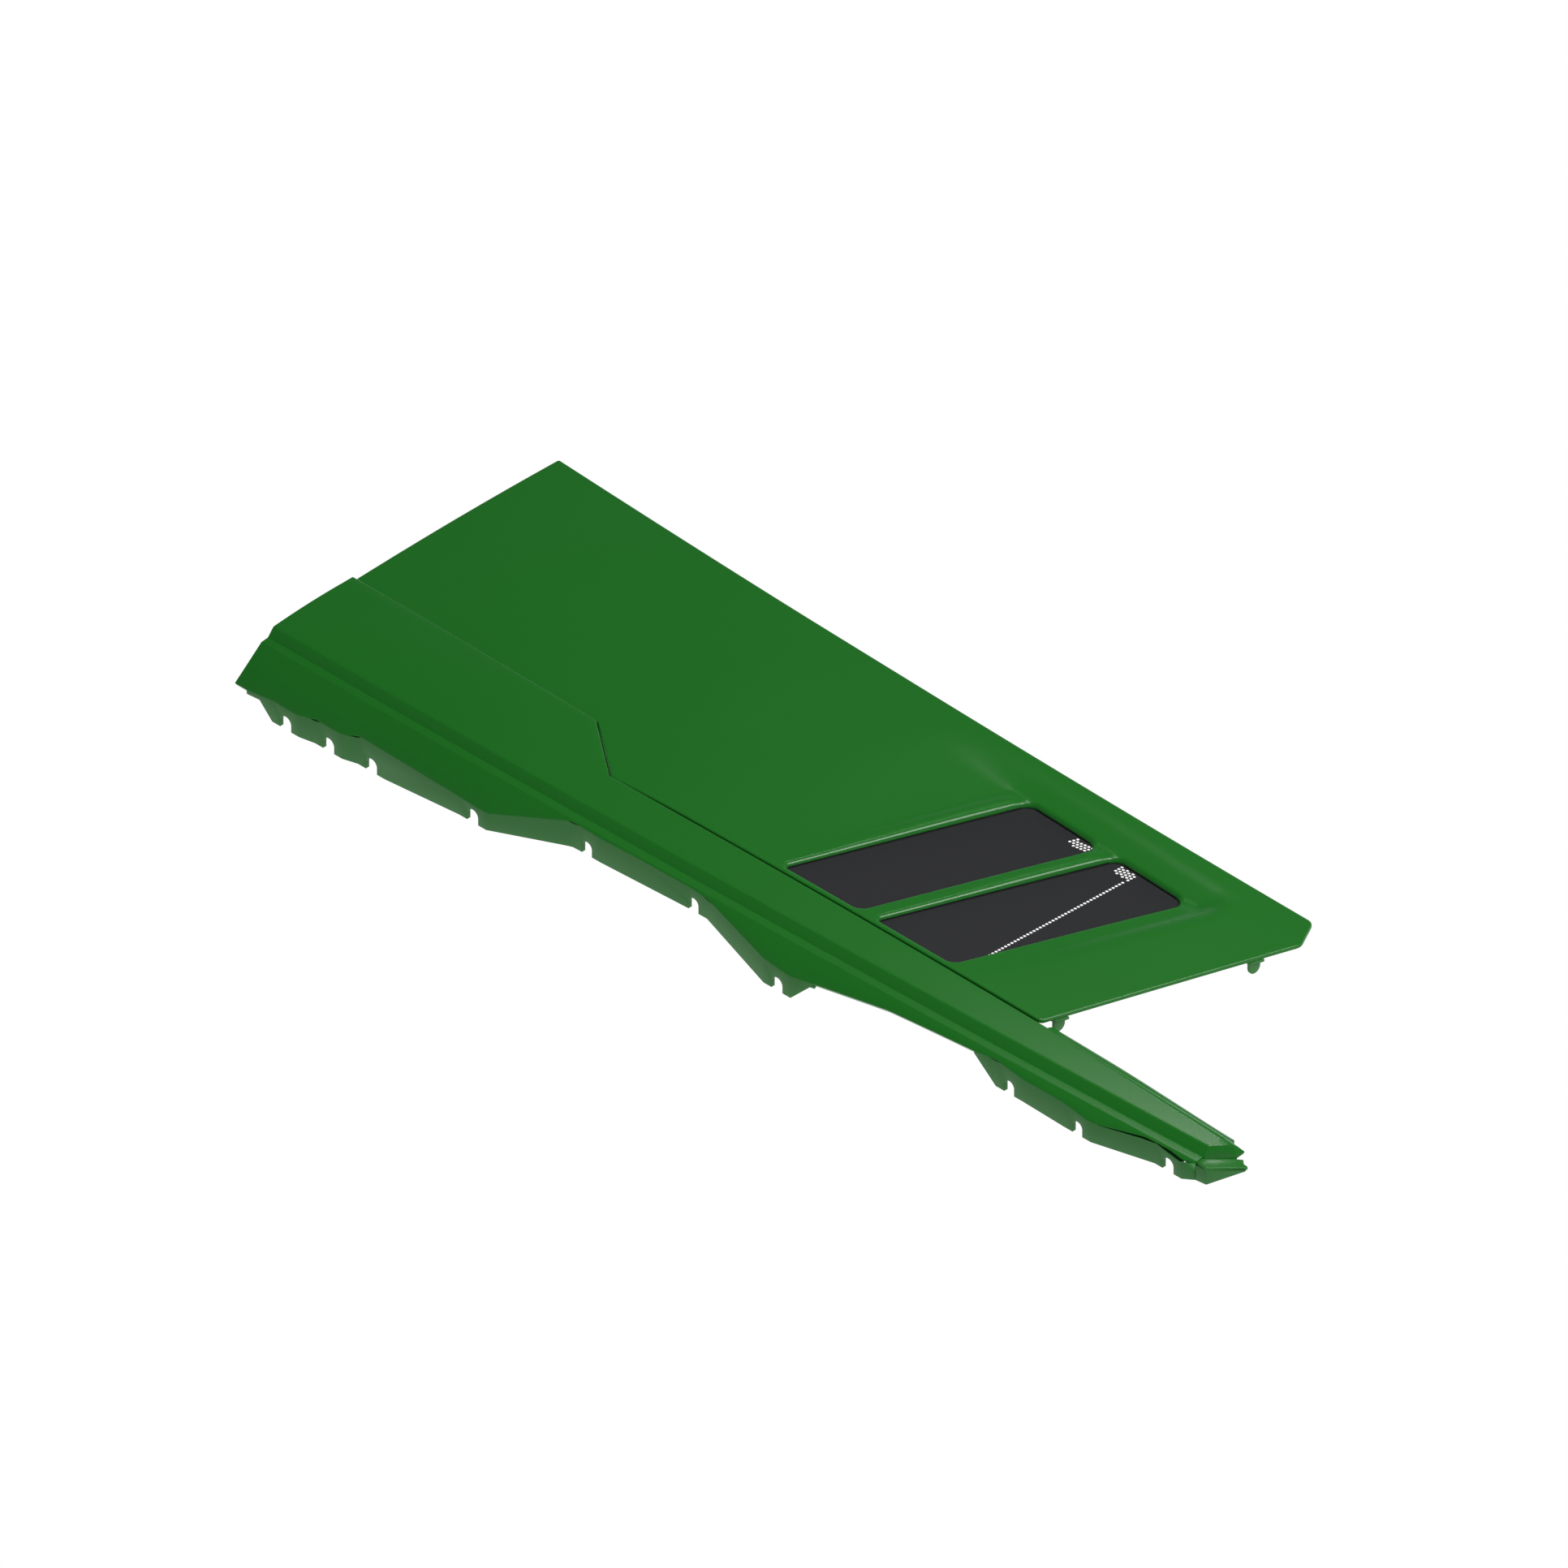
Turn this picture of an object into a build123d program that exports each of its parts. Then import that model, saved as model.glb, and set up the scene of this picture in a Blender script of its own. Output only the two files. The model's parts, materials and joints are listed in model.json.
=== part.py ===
from build123d import *
import os
from math import atan, cos, hypot, radians, sin

# Ventilated hood side panel, outer face up.
# +X runs from the rear edge to the nose, +Y from the trimmed long side to the plain one,
# +Z out of the outer face. All sizes are in millimetres. The crest line is the edge where
# the trim's top strip meets its bevel, and it starts at the origin.

# Overall form
LENGTH = 1118.0            # rear edge to the front end of the crest line
WIDTH = 361.0              # crest line at the rear edge to the plain long edge
NOSE_DROP = 42.2           # how far the crest line falls from rear to nose
NOSE_TAPER = 64.2          # how far the crest line runs in towards the middle
SKIN = 3.5                 # wall of the moulded skins

# Main panel
CROWN = 3.8                # highest point above the crest line, before the fall to the nose
REAR_DIP = 3.6             # fall from the crown to the seam behind the jog
FRONT_DIP = 0.3            # the same in front of the jog
FAR_EDGE_HOLLOW = 12.0     # how far the plain edge is hollowed at mid length
FRONT_LEAN = 0.30          # lean of the front edge, per millimetre across
CORNER_CUT = 31.0          # clipped far front corner, across
CORNER_CUT_ALONG = 16.0    # the same, along

# Seam between trim and main panel
SEAM_GAP = 1.0
SEAM_REAR = 102.0          # seam to the crest line at the rear edge
SEAM_FRONT = 52.0          # the same just in front of the jog
SEAM_SLOPE = 0.0457        # drift of the seam in front of the jog
JOG_RADIUS = 7.0
LAP = 18.0                 # overlap of trim and main panel
STRAP_REACH = 2.0          # reach of the seam strap under the main panel
STRAP_THICKNESS = 3.0
SINK = 0.8                 # depth to which joined walls run into each other
BAND_STEP = 3.0            # how far the nose's band lies below the strip

# Vents
VENT_SPAN = 90.0           # along X
VENT_BAR = 22.0            # bar between the two vents, along X
VENT_SLANT = 0.33          # lean of the vents' ends, per millimetre across
VENT_MARGIN = 9.0          # seam to the vents' near side
VENT_FAR_MARGIN = 57.0     # vents' far side to the plain edge
VENT_NEAR_LIMIT = 4.0      # most that anything behind a vent's near side reaches outwards
VENT_ROUND = 12.0
VENT_SHARP = 3.0
RECESS_DEPTH = 7.0         # sink of the surface at the vents' far side
RECESS_WALL = 26.0         # width of the sloped far wall of the recess
RECESS_LEAD = 150.0        # run-in behind the vents

# Screens behind the vents
SEAL_WIDTH = 7.0
SEAL_THICKNESS = 1.5
SCREEN_THICKNESS = 1.0
HOLE_DIAMETER = 3.0
HOLE_PITCH = 4.0
HOLES_IN_ROW = 43
PATCH_COLUMNS = 6
PATCH_START = 8.5          # vent corner to the first column of its patch
PATCH_EDGE = 2.5           # vent's far edge to the first holes
PATCH_DEPTH = 13.0
FRAME_THICKNESS = 3.0
FRAME_INSET = 2.0          # vent edge to the frame's inner edge
FRAME_WIDTH = 16.0
SCREW_INSET = 12.5         # vent edge to screw centre
SCREW_DIAMETER = 4.0
SCREW_CLEARANCE = 0.25
SCREW_HEAD_DIAMETER = 8.0
SCREW_HEAD = 2.4
SCREW_REACH = 5.2          # shank above the frame's lower face
BOSS_DIAMETER = 7.5
SCREWS_PER_SIDE = 4
LAYER_GAP = 0.1            # between the stacked skin, seal, screen and frame

# Trim section
STRIP_CROWN = 4.2
STRIP_REACH = 84.0         # crest line to the top of the strip's crown
BEVEL_OUT = 7.0
BEVEL_DROP = 8.5
LEDGE_WIDTH = 8.0
LEDGE_FALL = 0.8
SKIRT_FALL = 0.84          # fall of the skirt per millimetre outwards
SKIRT_SHORTEST = 1.5
SKIN_SHIFT = 2.2           # how far in the skirt's inner face is shifted
NOSE_ANGLE = 50.0          # plan angle of the nose's front
NOSE_RUN = 32.0            # length of the nose's front
NOSE_BEVEL = 6.0           # crest to the foot of the front bevel
NOSE_LEDGE = 19.0          # crest to the edge of the front ledge
NOSE_BAND = 9.0            # band beyond the seam, in front of the main panel
NOSE_WALL = 13.0           # depth of the nose's far wall
NOSE_OVERLAP = 12.0
NOSE_FRONT_NEAR = -71.0    # lower edge of the nose's front wall, near side
NOSE_FRONT_FAR = -58.5

# Mounting flanges
FLANGE_THICKNESS = 4.3
BOND_GAP = 0.3             # adhesive line between flange and trim
BOND_LEG = 3.0
WIDE_NOTCH = 13.9
NARROW_NOTCH = 12.3
NOTCH_DEPTH = 13.9
PAD_LENGTH = 34.0          # flat stretch of wall at each notch

# Locator lugs under the front edge
LUG_WIDTH = 14.0
LUG_THICKNESS = 3.0
LUG_HANG = 15.0
LUG_FOOT = 14.0
LUG_SETBACK = 5.0          # front edge to the lug's tongue

# Places along the length
PANEL_NEAR_FRONT = LENGTH * 0.799
PANEL_FAR_FRONT = PANEL_NEAR_FRONT + FRONT_LEAN * (WIDTH - CORNER_CUT - SEAM_REAR + 27.0)
JOG_START = LENGTH * 0.274
JOG_END = LENGTH * 0.334
VENT_START = LENGTH * 0.515
STATIONS = 76              # profile stations along the trim, shared by what is bonded to it
LONG_FLANGE = (LENGTH / STATIONS, LENGTH * 47 / STATIONS)
FRONT_FLANGE = (LENGTH * 59 / STATIONS, LENGTH)
FRONT_LEG_END = LENGTH * 75 / STATIONS
CUT_BELOW = -150.0         # plan outlines are drawn here and extruded up through the panel
CUT_HEIGHT = 300.0
WALL_ROOM = 30.0           # room beside a flange wall before it is cut to its thickness

# Notches: place along, wall place across, height of the wall's lower edge, notch width
LONG_NOTCHES = [
    (LENGTH * 0.055, -46.0, -59.0, WIDE_NOTCH),
    (LENGTH * 0.100, -42.0, -59.5, WIDE_NOTCH),
    (LENGTH * 0.1435, -36.5, -60.5, WIDE_NOTCH),
    (LENGTH * 0.2575, -36.0, -52.5, WIDE_NOTCH),
    (LENGTH * 0.362, -8.2, -43.5, NARROW_NOTCH),
    (LENGTH * 0.477, -2.0, -44.0, NARROW_NOTCH),
    (LENGTH * 0.582, -14.0, -66.0, WIDE_NOTCH),
]
FRONT_NOTCHES = [
    (LENGTH * 0.8125, 22.0, -68.5, NARROW_NOTCH),
    (LENGTH * 0.886, 26.0, -74.0, NARROW_NOTCH),
    (LENGTH * 0.974, 42.3, -73.0, WIDE_NOTCH),
]

SEAL_DEPTH = SKIN + LAYER_GAP
SCREEN_DEPTH = SEAL_DEPTH + SEAL_THICKNESS + LAYER_GAP
FRAME_DEPTH = SCREEN_DEPTH + SCREEN_THICKNESS + LAYER_GAP


def rise(value, start, end):
    """Smooth step from 0 at start to 1 at end."""
    share = min(1.0, max(0.0, (value - start) / (end - start)))
    return share * share * (3.0 - 2.0 * share)


def through(points, value):
    """Height at value of the smooth-stepped line through the points."""
    if value <= points[0][0]:
        return points[0][1]
    for (start, low), (end, high) in zip(points, points[1:]):
        if value <= end:
            return low + (high - low) * (value - start) / (end - start)
    return points[-1][1]


def fall(x):
    """Height of the crest line at x."""
    return -NOSE_DROP * (x / LENGTH) ** 2


def crest(x):
    """Place across of the crest line at x."""
    return NOSE_TAPER * (x / LENGTH) ** 2


def front_seam(x):
    """Place across of the seam in front of the jog."""
    return SEAM_FRONT + SEAM_SLOPE * (x - JOG_END)


def leaned(x, y):
    """Place along the near side of a point moved back along the vents' slant."""
    return x - VENT_SLANT * (y - front_seam(VENT_START))


def main_height(x, y):
    """Outer face of the main panel."""
    crown_line = WIDTH * 0.76
    dip = REAR_DIP + (FRONT_DIP - REAR_DIP) * rise(x, JOG_START - 30.0, JOG_END + 90.0)
    span = (crown_line - y) / (crown_line - SEAM_REAR)
    height = CROWN - dip * span * span + fall(x)
    far = WIDTH - VENT_FAR_MARGIN
    near = front_seam(x)
    across = max(0.0, min(1.0, (y - near) / (far - near)))
    wall = 1.0 - rise(y, far, far + RECESS_WALL)
    back = rise(leaned(x, y), VENT_START - RECESS_LEAD, VENT_START)
    vents_end = VENT_START + 2.0 * VENT_SPAN + VENT_BAR
    front = 1.0 - rise(leaned(x, y), vents_end, vents_end + 80.0)
    return height - RECESS_DEPTH * across * wall * back * front


def strip_height(x, y):
    """Outer face of the trim's top strip."""
    share = min(1.0, max(-0.2, (y - crest(x)) / STRIP_REACH))
    return fall(x) + STRIP_CROWN * (1.0 - (1.0 - share) ** 2)


def wall_line(notches, start, end):
    """Corners of a flange's outer face in plan, flat at every notch."""
    points = [start]
    for place, across, _, _ in notches:
        points.append((place - PAD_LENGTH / 2.0, across))
        points.append((place + PAD_LENGTH / 2.0, across))
    points.append(end)
    return points


LONG_LINE = wall_line(
    LONG_NOTCHES,
    (LONG_FLANGE[0], -48.5),
    (LONG_FLANGE[1], -9.0),
)
FRONT_LINE = wall_line(
    FRONT_NOTCHES,
    (FRONT_FLANGE[0], 18.0),
    (FRONT_FLANGE[1], crest(LENGTH) - BEVEL_OUT - LEDGE_WIDTH - SKIRT_SHORTEST),
)
SKIRT_LINE = [(0.0, -48.5)] + LONG_LINE + [(LENGTH * 0.69, 6.0)] + FRONT_LINE


def ledge_edge(x):
    return crest(x) - BEVEL_OUT - LEDGE_WIDTH


def skirt_edge(x):
    """Place across of the skirt's lower edge, where the flange wall starts."""
    return min(through(SKIRT_LINE, x), ledge_edge(x) - SKIRT_SHORTEST)


def ledge_height(x):
    return fall(x) - BEVEL_DROP - LEDGE_FALL


def skirt_height(x):
    return ledge_height(x) - SKIRT_FALL * (ledge_edge(x) - skirt_edge(x))


def trim_outside(x):
    """Outer profile of the trim from the bevel's top to the skirt's lower edge."""
    return [
        (crest(x), fall(x)),
        (crest(x) - BEVEL_OUT, fall(x) - BEVEL_DROP),
        (ledge_edge(x), ledge_height(x)),
        (skirt_edge(x), skirt_height(x)),
    ]


def strip_end(x):
    """Inner end of the strip before the seam is cut."""
    if x < JOG_END + 12.0:
        return SEAM_REAR + 8.0
    return front_seam(x) + 8.0


def trim_section(x):
    """Closed profile of the trim at x."""
    end = strip_end(x)
    start = crest(x)
    strip = [end + (start - end) * share / 6.0 for share in range(6)]
    top = [(y, strip_height(x, y)) for y in strip]
    outside = trim_outside(x)
    inside = [(y + SKIN_SHIFT, z - SKIN) for y, z in reversed(outside)]
    below = [(y, strip_height(x, y) - SKIN) for y in reversed(strip[:-1])]
    return top + outside + inside + below


def leg_section(x):
    """Flange leg that is bonded under the skirt and the ledge."""
    inside = [(y + SKIN_SHIFT, z - SKIN - BOND_GAP) for y, z in trim_outside(x)[1:]]
    below = [(y, z - BOND_LEG) for y, z in reversed(inside)]
    return inside + below


def under_trim_section(x):
    """Room below the skirt that a flange wall fills."""
    bevel, ledge, skirt = trim_outside(x)[1:]
    tops = [
        (bevel[0] + SKIN_SHIFT, bevel[1] - SKIN - BOND_GAP),
        (ledge[0] + SKIN_SHIFT, ledge[1] - SKIN - BOND_GAP),
        (skirt[0] + SKIN_SHIFT, skirt[1] - SKIN - BOND_GAP),
        (skirt[0], skirt[1] - BOND_GAP),
    ]
    sides = [
        (skirt[0] - WALL_ROOM, skirt[1] - BOND_GAP),
        (skirt[0] - WALL_ROOM, CUT_BELOW),
        (bevel[0] + WALL_ROOM, CUT_BELOW),
    ]
    return tops + sides


def strap_section(x):
    """Strap bonded under the strip and the main panel's edge."""
    seam = front_seam(x)
    edge = seam + SEAM_GAP
    places = [(y, strip_height(x, y)) for y in (seam - LAP, seam - LAP / 2.0, seam - 0.5)]
    places += [(y, main_height(x, y)) for y in (edge, edge + STRAP_REACH)]
    top = [(y, z - SKIN - BOND_GAP) for y, z in places]
    below = [(y, z - STRAP_THICKNESS) for y, z in reversed(top)]
    return top + below


def band_section(x):
    """Trim's band beyond the seam and its far wall, in front of the main panel."""
    seam = front_seam(x)
    level = strip_height(x, seam) - BAND_STEP
    outer = seam + NOSE_BAND
    return [
        (seam - SKIN, strip_height(x, seam) - SINK),
        (seam - 0.2, strip_height(x, seam) - SINK),
        (seam + 1.5, level),
        (outer - SKIN, level - 0.5),
        (outer, level - SKIN),
        (outer, level - NOSE_WALL),
        (outer - SKIN, level - NOSE_WALL),
        (outer - SKIN, level - SKIN - 0.5),
        (seam - SKIN, level - SKIN),
    ]


def stations(start, end):
    """Evenly spaced places from start to end."""
    count = max(3, round(STATIONS * (end - start) / LENGTH))
    return [start + (end - start) * step / count for step in range(count + 1)]


def outer_face_surface(depth):
    """The main panel's outer face, lowered by depth, as one smooth face larger than the panel."""
    columns = 84
    rows = 44
    x_low = -12.0
    x_high = PANEL_FAR_FRONT + 24.0
    y_low = 20.0
    y_high = WIDTH + 14.0
    grid = []
    for row in range(rows + 1):
        y = y_low + (y_high - y_low) * row / rows
        places = [x_low + (x_high - x_low) * column / columns for column in range(columns + 1)]
        grid.append([(x, y, main_height(x, y) - depth) for x in places])
    return Face.make_surface_from_array_of_points(grid, min_deg=3)


def layer(depth, thickness):
    """Sheet that follows the outer face from depth to depth + thickness."""
    return extrude(outer_face_surface(depth), thickness, dir=(0, 0, -1))


def vent_corners(start, outset):
    """Corners of a vent in plan, grown by outset, from near rear anticlockwise."""
    near = front_seam(start) + VENT_MARGIN
    far = WIDTH - VENT_FAR_MARGIN + outset
    lean = hypot(1.0, VENT_SLANT)
    corners = []
    for x, side in ((start, -1.0), (start + VENT_SPAN, 1.0)):
        y = near + SEAM_SLOPE * (x - start) - min(outset, VENT_NEAR_LIMIT)
        base = x + side * outset * lean
        corners.append((base + VENT_SLANT * (y - near), y))
        corners.append((base + VENT_SLANT * (far - near), far))
    return [corners[0], corners[2], corners[3], corners[1]]


REAR_VENT = VENT_START
FRONT_VENT = VENT_START + VENT_SPAN + VENT_BAR


def screw_places(start):
    """Screws along the outer slanted side of a vent."""
    near_rear, near_front, far_front, far_rear = vent_corners(start, SCREW_INSET)
    if start == REAR_VENT:
        low, high = near_rear, far_rear
    else:
        low, high = near_front, far_front
    shares = [(step + 0.5) / SCREWS_PER_SIDE for step in range(SCREWS_PER_SIDE)]
    return [(low[0] + (high[0] - low[0]) * share, low[1] + (high[1] - low[1]) * share) for share in shares]


def layer_depth_at(place, depth):
    return main_height(place[0], place[1]) - depth


os.makedirs("parts", exist_ok=True)

# Outline pieces shared by several sub-parts
near_front = (PANEL_NEAR_FRONT, front_seam(PANEL_NEAR_FRONT) + SEAM_GAP)
far_front_y = WIDTH - CORNER_CUT
far_front = (PANEL_FAR_FRONT, far_front_y)
clipped = (PANEL_FAR_FRONT - CORNER_CUT_ALONG, WIDTH)
lap_inner = SEAM_REAR - LAP
mid_far = (LENGTH * 0.57, WIDTH - FAR_EDGE_HOLLOW)

panel_sheet = layer(0.0, SKIN)

with BuildSketch(Plane.XY.offset(CUT_BELOW)) as panel_outline:
    with BuildLine():
        Polyline(
            (0.0, WIDTH),
            (0.0, lap_inner),
            (JOG_START - LAP, lap_inner),
            (JOG_START - LAP, SEAM_REAR + SEAM_GAP),
            (JOG_START + SEAM_GAP / 2.0, SEAM_REAR + SEAM_GAP),
            (JOG_END + SEAM_GAP / 2.0, SEAM_FRONT + SEAM_GAP),
            near_front,
            far_front,
            clipped,
        )
        ThreePointArc(clipped, mid_far, (0.0, WIDTH))
    make_face()

vent_cutters = []
for start in (REAR_VENT, FRONT_VENT):
    with BuildSketch(Plane.XY.offset(CUT_BELOW)) as vent_outline:
        with BuildLine():
            Polyline(*vent_corners(start, 0.0), close=True)
        make_face()
        ordered = vent_outline.vertices().sort_by(Axis.X)
        fillet(ordered[0], VENT_SHARP)
        fillet(vent_outline.vertices().sort_by(Axis.X)[2:], VENT_ROUND)
    vent_cutters.append(extrude(vent_outline.sketch, CUT_HEIGHT))

with BuildPart() as main_panel:
    add(panel_sheet)
    extrude(panel_outline.sketch, CUT_HEIGHT, mode=Mode.INTERSECT)
    for cutter in vent_cutters:
        add(cutter, mode=Mode.SUBTRACT)
main_panel.part.label = "main_panel"
export_step(main_panel.part, "parts/main_panel.step")

# Strap bonded under both sides of the seam, in front of the jog
with BuildPart() as seam_strap:
    for x in stations(JOG_END + 14.0, PANEL_NEAR_FRONT - 6.0):
        with BuildSketch(Plane.YZ.offset(x)):
            with BuildLine():
                Polyline(*strap_section(x), close=True)
            make_face()
    loft(ruled=True)
seam_strap.part.label = "seam_strap"
export_step(seam_strap.part, "parts/seam_strap.step")

# Nose: corners of its front in plan, from near to far
NOSE_NEAR = (LENGTH, crest(LENGTH))
along = (cos(radians(NOSE_ANGLE)), sin(radians(NOSE_ANGLE)))
out = (along[1], -along[0])


def nose_point(run, offset):
    """Point run along the nose's front and offset out from it."""
    x = NOSE_NEAR[0] + along[0] * run + out[0] * offset
    return (x, NOSE_NEAR[1] + along[1] * run + out[1] * offset)


def nose_corner(side, offset):
    """Where the near side, side out from the crest line, meets the front, offset out."""
    y = NOSE_NEAR[1] - side
    run_x = (offset - out[1] * (y - NOSE_NEAR[1])) / out[0]
    return (NOSE_NEAR[0] + run_x, y)


nose_start = LENGTH - NOSE_OVERLAP
nose_far = front_seam(LENGTH) + NOSE_BAND
crest_level = fall(LENGTH)
bevel_level = crest_level - BEVEL_DROP
ledge_level = ledge_height(LENGTH)
ledge_side = BEVEL_OUT + LEDGE_WIDTH

# Trim: strip, bevel, ledge and skirt in one moulding, with the nose that closes its front
with BuildPart() as lower_trim:
    for x in stations(0.0, LENGTH):
        with BuildSketch(Plane.YZ.offset(x)):
            with BuildLine():
                Polyline(*trim_section(x), close=True)
            make_face()
    loft(ruled=True)
    with BuildSketch(Plane.XY.offset(-60.0)) as beyond_seam:
        with BuildLine():
            Polyline(
                (-20.0, SEAM_REAR),
                (JOG_START, SEAM_REAR),
                (JOG_END, SEAM_FRONT),
                (LENGTH + 90.0, front_seam(LENGTH + 90.0)),
                (LENGTH + 90.0, WIDTH),
                (-20.0, WIDTH),
                close=True,
            )
        make_face()
        fillet(beyond_seam.vertices().filter_by_position(Axis.X, 0.0, LENGTH), JOG_RADIUS)
    extrude(amount=120.0, mode=Mode.SUBTRACT)
    for x in stations(PANEL_NEAR_FRONT + 8.0, LENGTH + 2.0):
        with BuildSketch(Plane.YZ.offset(x)):
            with BuildLine():
                Polyline(*band_section(x), close=True)
            make_face()
    loft(ruled=True)
    with BuildSketch(Plane.XY.offset(ledge_level - SKIN)):
        with BuildLine():
            Polyline(
                (nose_start, NOSE_NEAR[1] - ledge_side),
                nose_corner(ledge_side, NOSE_LEDGE),
                nose_point(NOSE_RUN, NOSE_LEDGE),
                nose_point(NOSE_RUN, 0.0),
                (nose_start, nose_far),
                close=True,
            )
        make_face()
    extrude(amount=SKIN)
    with BuildSketch(Plane.XY.offset(ledge_level - 0.2)):
        with BuildLine():
            Polyline(
                (nose_start, NOSE_NEAR[1] - BEVEL_OUT),
                nose_corner(BEVEL_OUT, NOSE_BEVEL),
                nose_point(NOSE_RUN, NOSE_BEVEL),
                nose_point(NOSE_RUN, 0.0),
                (nose_start, nose_far),
                close=True,
            )
        make_face()
    with BuildSketch(Plane.XY.offset(crest_level)):
        with BuildLine():
            Polyline(
                (nose_start, NOSE_NEAR[1]),
                nose_corner(0.0, 0.0),
                nose_point(NOSE_RUN * 0.66, 0.0),
                nose_point(NOSE_RUN * 0.8, -3.0),
                (nose_start, front_seam(LENGTH) + 2.0),
                close=True,
            )
        make_face()
    loft(ruled=True)
lower_trim.part.label = "lower_trim"
export_step(lower_trim.part, "parts/lower_trim.step")


def bottom_line(notches, lead_in, lead_out):
    """Lower edge of a flange wall, along and height, level at every notch."""
    points = [lead_in]
    for place, _, height, _ in notches:
        points.append((place - PAD_LENGTH / 2.0, height))
        points.append((place + PAD_LENGTH / 2.0, height))
    points.append(lead_out)
    return points


def plan_points(line, start, end):
    """Points of a wall's outer face in plan between start and end."""
    inner = [x for x, _ in line if start < x < end]
    fine = stations(start, end)
    places = sorted(set([start, end] + inner + fine))
    return [(x, skirt_edge(x)) for x in places]


def flange(name, span, leg_end, line, notches, bottom):
    """Mounting flange: notched wall and the leg that is bonded under the trim."""
    start, end = span
    outer = plan_points(line, start, end)
    inner = [(x, y + FLANGE_THICKNESS) for x, y in reversed(outer)]
    with BuildPart() as piece:
        for x in sorted(set(stations(start, end))):
            with BuildSketch(Plane.YZ.offset(x)):
                with BuildLine():
                    Polyline(*under_trim_section(x), close=True)
                make_face()
        loft(ruled=True)
        with BuildSketch(Plane.XY.offset(CUT_BELOW)):
            with BuildLine():
                Polyline(*outer, *inner, close=True)
            make_face()
        extrude(amount=CUT_HEIGHT, mode=Mode.INTERSECT)
        with BuildSketch(Plane.XZ.offset(-WIDTH)):
            with BuildLine():
                Polyline(
                    *bottom,
                    (end + WALL_ROOM, bottom[-1][1]),
                    (end + WALL_ROOM, 1.1 * CUT_BELOW),
                    (start - WALL_ROOM, 1.1 * CUT_BELOW),
                    (start - WALL_ROOM, bottom[0][1]),
                    close=True,
                )
            make_face()
        extrude(amount=2.0 * WIDTH, mode=Mode.SUBTRACT)
        for place, _, height, width in notches:
            radius = width / 2.0
            with BuildSketch(Plane.XZ.offset(-WIDTH)):
                with Locations((place, height + NOTCH_DEPTH - radius)):
                    Circle(radius)
                with Locations((place, height + (NOTCH_DEPTH - radius) / 2.0 - 10.0)):
                    Rectangle(width, NOTCH_DEPTH - radius + 20.0)
            extrude(amount=2.0 * WIDTH, mode=Mode.SUBTRACT)
        for x in stations(start, leg_end):
            with BuildSketch(Plane.YZ.offset(x)):
                with BuildLine():
                    Polyline(*leg_section(x), close=True)
                make_face()
        loft(ruled=True)
    piece.part.label = name
    return piece.part


long_bottom = bottom_line(LONG_NOTCHES, (LONG_FLANGE[0] + 15.0, -42.0), (LONG_FLANGE[1], -43.0))
long_mounting_flange = flange(
    "long_mounting_flange", LONG_FLANGE, LONG_FLANGE[1], LONG_LINE, LONG_NOTCHES, long_bottom
)
export_step(long_mounting_flange, "parts/long_mounting_flange.step")
front_bottom = bottom_line(FRONT_NOTCHES, (FRONT_FLANGE[0], -42.0), (FRONT_FLANGE[1], NOSE_FRONT_NEAR))
front_mounting_flange = flange(
    "front_mounting_flange", FRONT_FLANGE, FRONT_LEG_END, FRONT_LINE, FRONT_NOTCHES, front_bottom
)
export_step(front_mounting_flange, "parts/front_mounting_flange.step")

# Front and side wall of the nose, hung under its ledge
wall_near = nose_corner(ledge_side, NOSE_LEDGE)
wall_far = nose_point(NOSE_RUN, NOSE_LEDGE)
wall_run = hypot(wall_far[0] - wall_near[0], wall_far[1] - wall_near[1])
wall_top = ledge_level - SKIN - BOND_GAP
wall_plane = Plane(
    origin=(wall_near[0], wall_near[1], 0.0),
    x_dir=(along[0], along[1], 0.0),
    z_dir=(out[0], out[1], 0.0),
)
with BuildPart() as nose_wall:
    with BuildSketch(wall_plane):
        with BuildLine():
            Polyline(
                (0.0, wall_top),
                (0.0, NOSE_FRONT_NEAR),
                (wall_run, NOSE_FRONT_FAR),
                (wall_run, wall_top),
                close=True,
            )
        make_face()
    extrude(amount=-FLANGE_THICKNESS)
    with BuildSketch(Plane.XY.offset(wall_top)):
        with BuildLine():
            Polyline(
                (LENGTH + 2.0, wall_near[1] + 1.0),
                (wall_near[0] - 1.0, wall_near[1] + 1.0),
                nose_point(NOSE_RUN - 1.0, NOSE_LEDGE - 1.0),
                nose_point(NOSE_RUN - 1.0, NOSE_LEDGE - 14.0),
                (LENGTH + 2.0, NOSE_NEAR[1] + 4.0),
                close=True,
            )
        make_face()
    extrude(amount=-BOND_LEG)
    with BuildSketch(Plane.XY.offset(wall_top)):
        with BuildLine():
            Polyline(
                (LENGTH + BOND_GAP, skirt_edge(LENGTH)),
                wall_near,
                (wall_near[0] - 1.0, wall_near[1] + FLANGE_THICKNESS),
                (LENGTH + BOND_GAP, skirt_edge(LENGTH) + FLANGE_THICKNESS),
                close=True,
            )
        make_face()
    extrude(amount=NOSE_FRONT_NEAR - wall_top)
nose_wall.part.label = "nose_wall"
export_step(nose_wall.part, "parts/nose_wall.step")


def seal_ring(start):
    """Seal between the skin and a screen, around a vent."""
    sheet = layer(SEAL_DEPTH, SEAL_THICKNESS)
    with BuildPart() as piece:
        add(sheet)
        with BuildSketch(Plane.XY.offset(CUT_BELOW)):
            with BuildLine():
                Polyline(*vent_corners(start, SEAL_WIDTH), close=True)
            make_face()
            with BuildLine():
                Polyline(*vent_corners(start, 0.0), close=True)
            make_face(mode=Mode.SUBTRACT)
        extrude(amount=CUT_HEIGHT, mode=Mode.INTERSECT)
    return piece.part


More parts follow.
